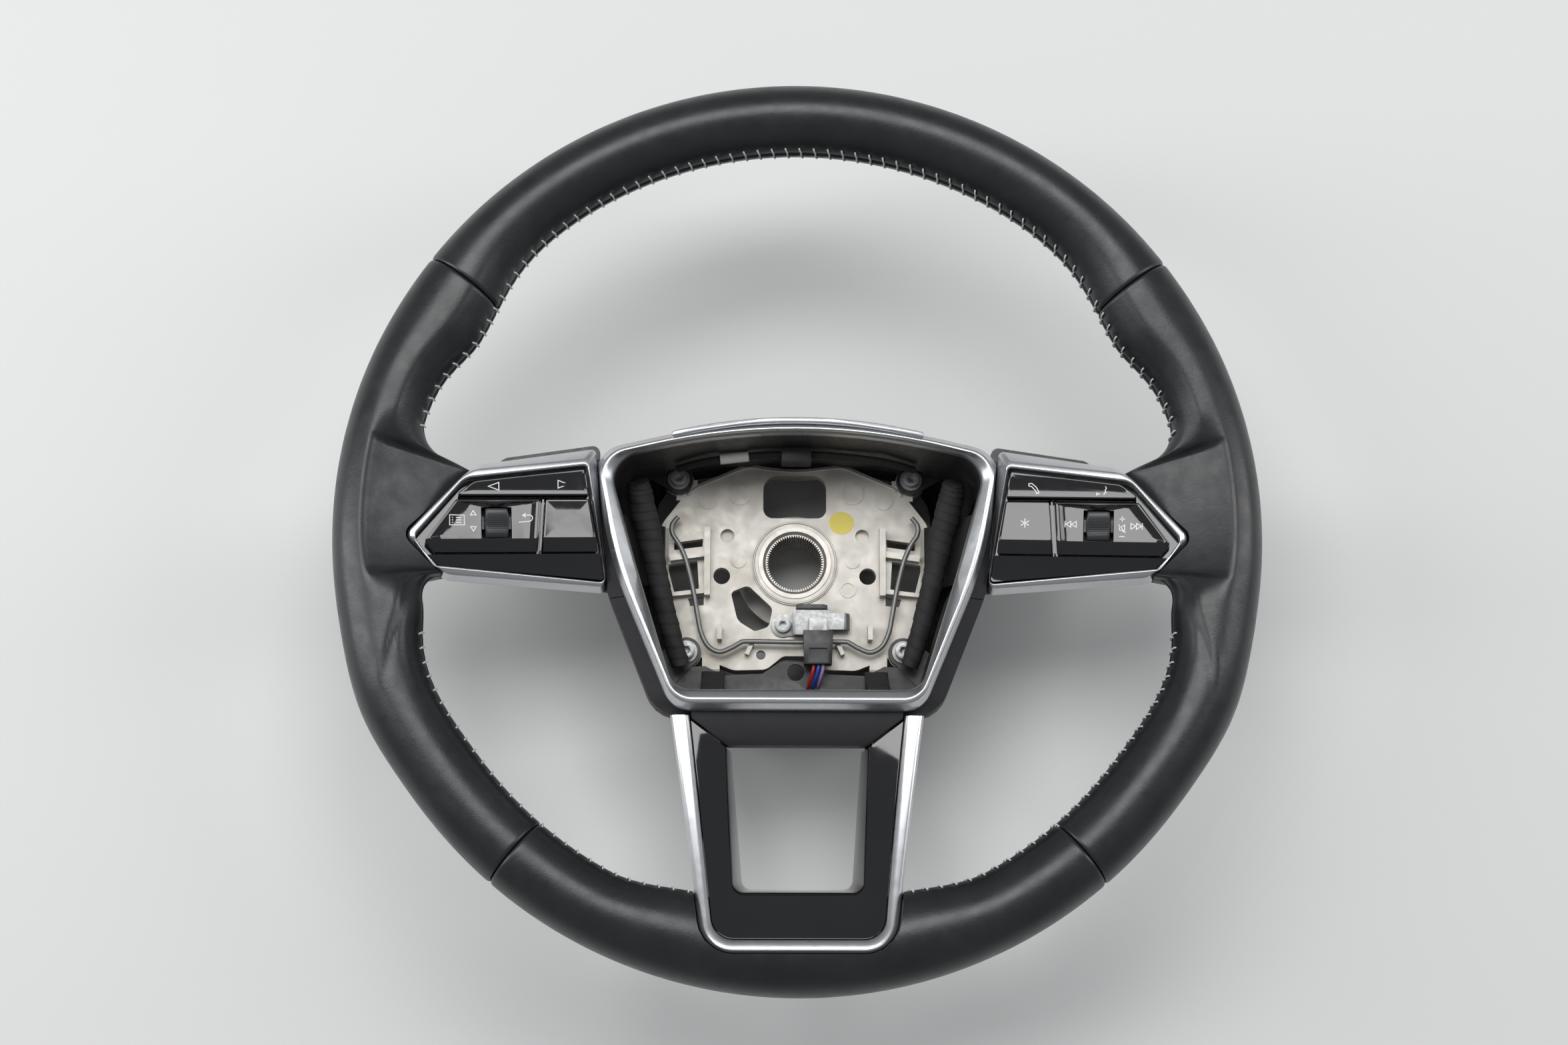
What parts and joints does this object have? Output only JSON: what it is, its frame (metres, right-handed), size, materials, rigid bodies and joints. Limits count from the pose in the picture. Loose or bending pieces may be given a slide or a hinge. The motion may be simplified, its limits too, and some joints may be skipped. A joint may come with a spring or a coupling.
{
  "type": "car steering wheel",
  "caption": "Three-spoke car steering wheel with a leather rim, key pods on both side spokes, shift paddles and an open hub with its airbag taken out.",
  "frame": {"origin": "middle of the column bore at the hub boss's rear face", "axes": "+Z along the column axis to the driver, +Y to twelve o'clock, +X to three o'clock"},
  "size_m": [0.37, 0.37, 0.1231],
  "materials": {
    "cast_alloy": "cast, satin",
    "boss_steel": "turned",
    "foam": "moulded foam",
    "leather": "fine grain",
    "thread": "sewing thread",
    "satin_silver": "satin silver paint on plastic",
    "black_matt": "fine texture",
    "black_gloss": "piano black",
    "zinc_steel": "zinc plated",
    "spring_steel": "drawn wire",
    "black_plastic": "moulded",
    "lead_insulation": "wire insulation",
    "loom_tape": "cloth tape",
    "white_sleeve": "plastic sleeve",
    "key_black": "satin gloss",
    "roller_grey": "ribbed"
  },
  "bodies": {
    "wheel": {"armature": "cast_alloy", "hub_collar": "cast_alloy", "latch_rails": "cast_alloy", "side_arms": "cast_alloy", "lower_arms": "cast_alloy", "rim_core": "cast_alloy", "hub_boss": "boss_steel", "rim_foam": "foam", "leather_top": "leather", "leather_left": "leather", "leather_right": "leather", "leather_bottom": "leather", "stitching": "thread", "hub_bezel": "satin_silver", "carrier": "black_plastic", "carrier_screws": "zinc_steel", "carrier_washers": "zinc_steel", "lower_cover": "black_matt", "lower_spoke_trim": "satin_silver", "lower_spoke_insert": "black_gloss", "rear_cover": "black_matt", "spring_wire": "spring_steel", "contact_clip": "zinc_steel", "clip_screw": "zinc_steel", "clip_block": "black_plastic", "connector": "black_plastic", "connector_tab": "zinc_steel", "connector_leads": "lead_insulation", "left_loom": "loom_tape", "right_loom": "loom_tape", "top_loom": "loom_tape", "loom_sleeve": "white_sleeve", "top_bracket": "black_plastic", "left_pod_bezel": "satin_silver", "right_pod_bezel": "satin_silver", "left_pod_housing": "black_gloss", "right_pod_housing": "black_gloss", "paddle_pins": "zinc_steel"},
    "left_rocker": {"left_rocker": "key_black"},
    "left_frame_key": {"left_frame_key": "key_black"},
    "left_single_key": {"left_single_key": "key_black"},
    "left_roller_cradle": {"left_roller_cradle": "black_plastic"},
    "left_roller": {"left_roller": "roller_grey"},
    "left_paddle": {"left_paddle": "black_plastic"},
    "right_rocker": {"right_rocker": "key_black"},
    "right_frame_key": {"right_frame_key": "key_black"},
    "right_single_key": {"right_single_key": "key_black"},
    "right_roller_cradle": {"right_roller_cradle": "black_plastic"},
    "right_roller": {"right_roller": "roller_grey"},
    "right_paddle": {"right_paddle": "black_plastic"}
  },
  "joints": [
    {"name": "left_rocker_tilt", "type": "hinge", "parent": "wheel", "child": "left_rocker", "pos_m": [-0.11012, 0.01943, 0.08611], "axis": [-0.0447, 0.999, 0.0079], "range_deg": [-1.5, 1.5], "stiffness_Nm_per_rad": 0.4},
    {"name": "left_frame_key_tilt", "type": "hinge", "parent": "wheel", "child": "left_frame_key", "pos_m": [-0.1217, 0.00288, 0.08815], "axis": [-0.0447, 0.999, 0.0079], "range_deg": [-1.5, 1.5], "stiffness_Nm_per_rad": 0.4},
    {"name": "left_single_key_press", "type": "slide", "parent": "wheel", "child": "left_single_key", "axis": [-0.1736, 0, -0.9848], "range_m": [0, 0.0008], "stiffness_N_per_m": 400},
    {"name": "left_cradle_press", "type": "slide", "parent": "wheel", "child": "left_roller_cradle", "axis": [-0.1736, 0, -0.9848], "range_m": [0, 0.0008], "stiffness_N_per_m": 400},
    {"name": "left_roller_spin", "type": "hinge", "parent": "left_roller_cradle", "child": "left_roller", "pos_m": [-0.12124, 0.00338, 0.09092], "axis": [0.9838, 0.0454, -0.1735], "continuous": true},
    {"name": "left_paddle_pull", "type": "hinge", "parent": "wheel", "child": "left_paddle", "pos_m": [-0.0856, 0.004, 0.0465], "axis": [0, 1, 0], "range_deg": [0, 4.5], "stiffness_Nm_per_rad": 1.5, "springref_deg": -2.86},
    {"name": "right_rocker_tilt", "type": "hinge", "parent": "wheel", "child": "right_rocker", "pos_m": [0.11012, 0.01943, 0.08611], "axis": [0.0447, 0.999, 0.0079], "range_deg": [-1.5, 1.5], "stiffness_Nm_per_rad": 0.4},
    {"name": "right_frame_key_tilt", "type": "hinge", "parent": "wheel", "child": "right_frame_key", "pos_m": [0.1217, 0.00288, 0.08815], "axis": [0.0447, 0.999, 0.0079], "range_deg": [-1.5, 1.5], "stiffness_Nm_per_rad": 0.4},
    {"name": "right_single_key_press", "type": "slide", "parent": "wheel", "child": "right_single_key", "axis": [0.1736, 0, -0.9848], "range_m": [0, 0.0008], "stiffness_N_per_m": 400},
    {"name": "right_cradle_press", "type": "slide", "parent": "wheel", "child": "right_roller_cradle", "axis": [0.1736, 0, -0.9848], "range_m": [0, 0.0008], "stiffness_N_per_m": 400},
    {"name": "right_roller_spin", "type": "hinge", "parent": "right_roller_cradle", "child": "right_roller", "pos_m": [0.12124, 0.00338, 0.09092], "axis": [-0.9838, 0.0454, -0.1735], "continuous": true},
    {"name": "right_paddle_pull", "type": "hinge", "parent": "wheel", "child": "right_paddle", "pos_m": [0.0856, 0.004, 0.0465], "axis": [0, -1, 0], "range_deg": [0, 4.5], "stiffness_Nm_per_rad": 1.5, "springref_deg": -2.86}
  ]
}
